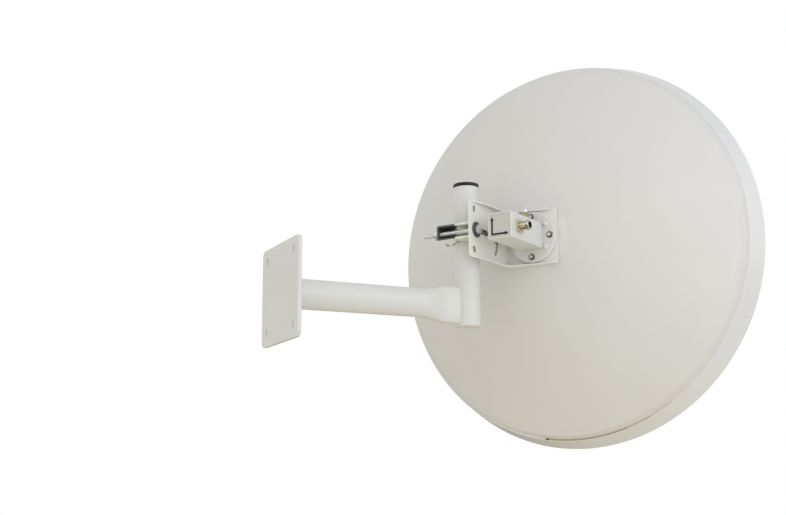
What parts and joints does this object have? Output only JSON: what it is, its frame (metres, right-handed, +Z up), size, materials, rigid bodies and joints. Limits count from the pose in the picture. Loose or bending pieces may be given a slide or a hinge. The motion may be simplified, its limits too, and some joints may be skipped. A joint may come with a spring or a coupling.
{
  "type": "dish antenna",
  "caption": "Round dish antenna with a cone radome and a square feed box, clamped to an upright mast on a wall arm; it swings about the mast and tilts on its bracket.",
  "frame": {"origin": "centre of the wall plate's wall face", "axes": "+Y out of the wall along the arm, +Z up along the mast, +X to the right of someone who looks out from the wall"},
  "size_m": [0.5999, 0.74, 0.68],
  "materials": {
    "white_paint": "satin off-white powder coat",
    "dish_paint": "satin off-white paint on spun aluminium",
    "radome_shell": "glossy white moulded shell",
    "dark_jaw": "black-green coated steel",
    "pale_jaw": "pale zinc-coated steel",
    "zinc": "bright zinc plate",
    "nickel": "nickel plate over brass",
    "black_plastic": "black moulded plastic",
    "label": "satin grey label with plain arrows"
  },
  "bodies": {
    "wall_mount": {"wall_plate": "white_paint", "mast_arm": "white_paint", "mast": "white_paint", "mast_cap": "black_plastic", "mast_foot_plug": "white_paint"},
    "clamp": {"outer_jaw": "dark_jaw", "inner_jaw": "pale_jaw", "near_clamp_bolt": "zinc", "near_bolt_washer": "zinc", "near_nut_washer": "zinc", "near_clamp_nut": "zinc", "far_clamp_bolt": "zinc", "far_bolt_washer": "zinc", "far_nut_washer": "zinc", "far_clamp_nut": "zinc"},
    "antenna": {"bracket": "white_paint", "feed_flange": "dish_paint", "flange_bolt_1": "zinc", "flange_bolt_2": "zinc", "flange_bolt_3": "zinc", "flange_bolt_4": "zinc", "feed_box": "dish_paint", "box_label": "label", "side_socket_plate": "nickel", "side_socket": "nickel", "top_socket_plate": "nickel", "top_socket": "nickel", "reflector": "dish_paint", "radome": "radome_shell"}
  },
  "joints": [
    {"name": "swing", "type": "hinge", "parent": "wall_mount", "child": "clamp", "pos_m": [0, 0.32, 0.1155], "axis": [0, 0, 1], "range_deg": [-90, 30]},
    {"name": "tilt", "type": "hinge", "parent": "clamp", "child": "antenna", "pos_m": [0.04784, 0.30894, 0.1155], "axis": [0.866, 0.5, 0], "range_deg": [-22, 22]}
  ]
}
